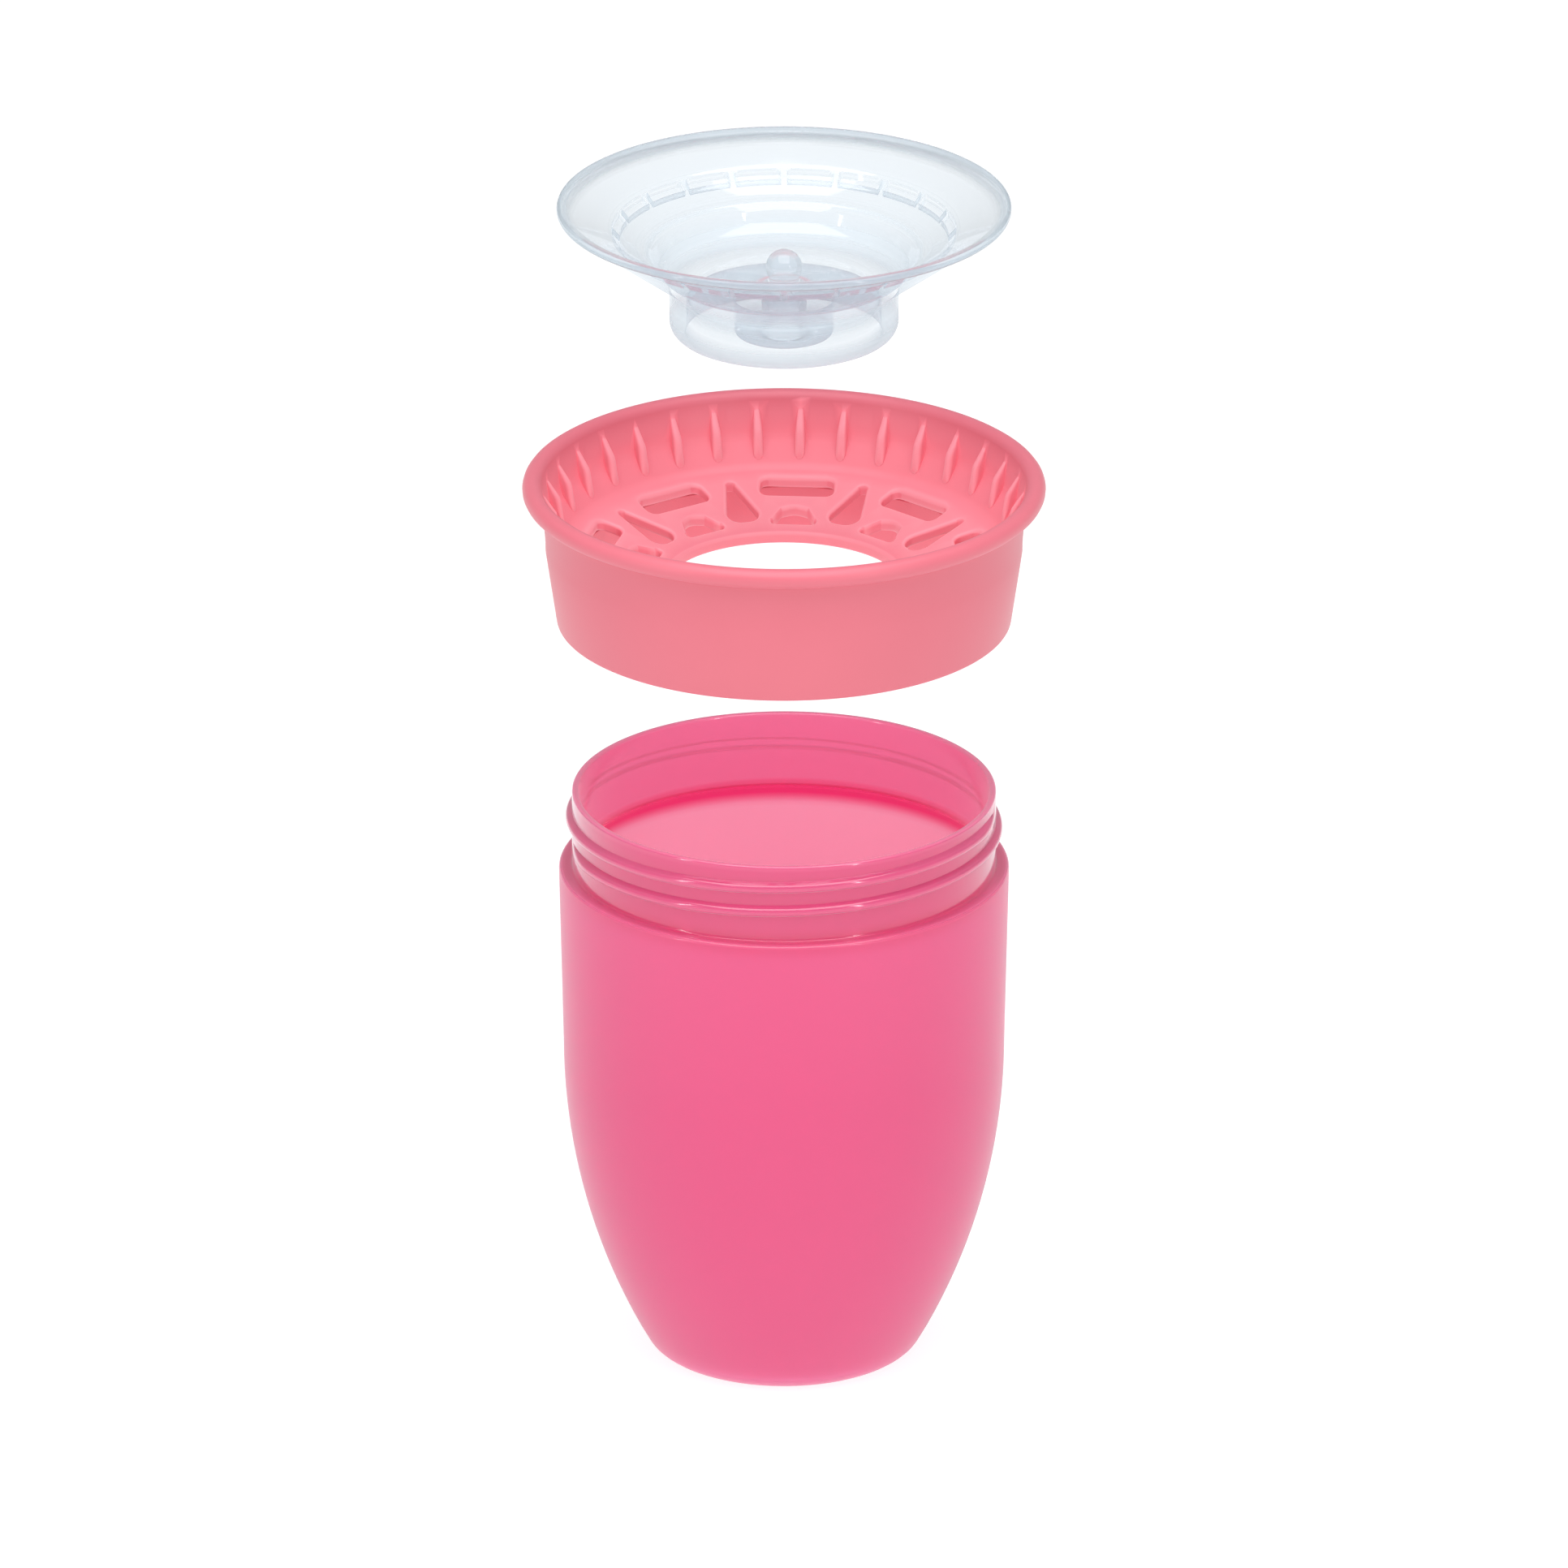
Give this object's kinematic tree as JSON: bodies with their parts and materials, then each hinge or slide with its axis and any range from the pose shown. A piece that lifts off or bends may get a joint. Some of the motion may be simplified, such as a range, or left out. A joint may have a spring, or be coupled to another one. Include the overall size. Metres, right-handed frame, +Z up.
{
  "type": "training cup",
  "caption": "Translucent tumbler with a threaded neck, a ribbed drinking collar with a rolled rim and a clear silicone valve, shown lifted apart on one axis",
  "frame": {"origin": "middle of the cup's flat base, on the axis that all three pieces share", "axes": "+Z up along the shared axis, +X to the right seen from the front, +Y to the back"},
  "size_m": [0.079, 0.079, 0.1851],
  "materials": {
    "pink_translucent_plastic": "translucent pink polypropylene, fine matte texture on the body, glossy neck",
    "salmon_plastic": "satin salmon pink polypropylene",
    "clear_silicone": "clear glossy silicone"
  },
  "bodies": {
    "cup": {"cup_body": "pink_translucent_plastic"},
    "collar": {"drinking_collar": "salmon_plastic"},
    "valve_disc": {"valve": "clear_silicone"}
  },
  "joints": [
    {"name": "collar_lift", "type": "slide", "parent": "cup", "child": "collar", "axis": [0, 0, 1], "range_m": [-0.0378, 0]},
    {"name": "valve_lift", "type": "slide", "parent": "collar", "child": "valve_disc", "axis": [0, 0, 1], "range_m": [-0.0466, 0]}
  ]
}
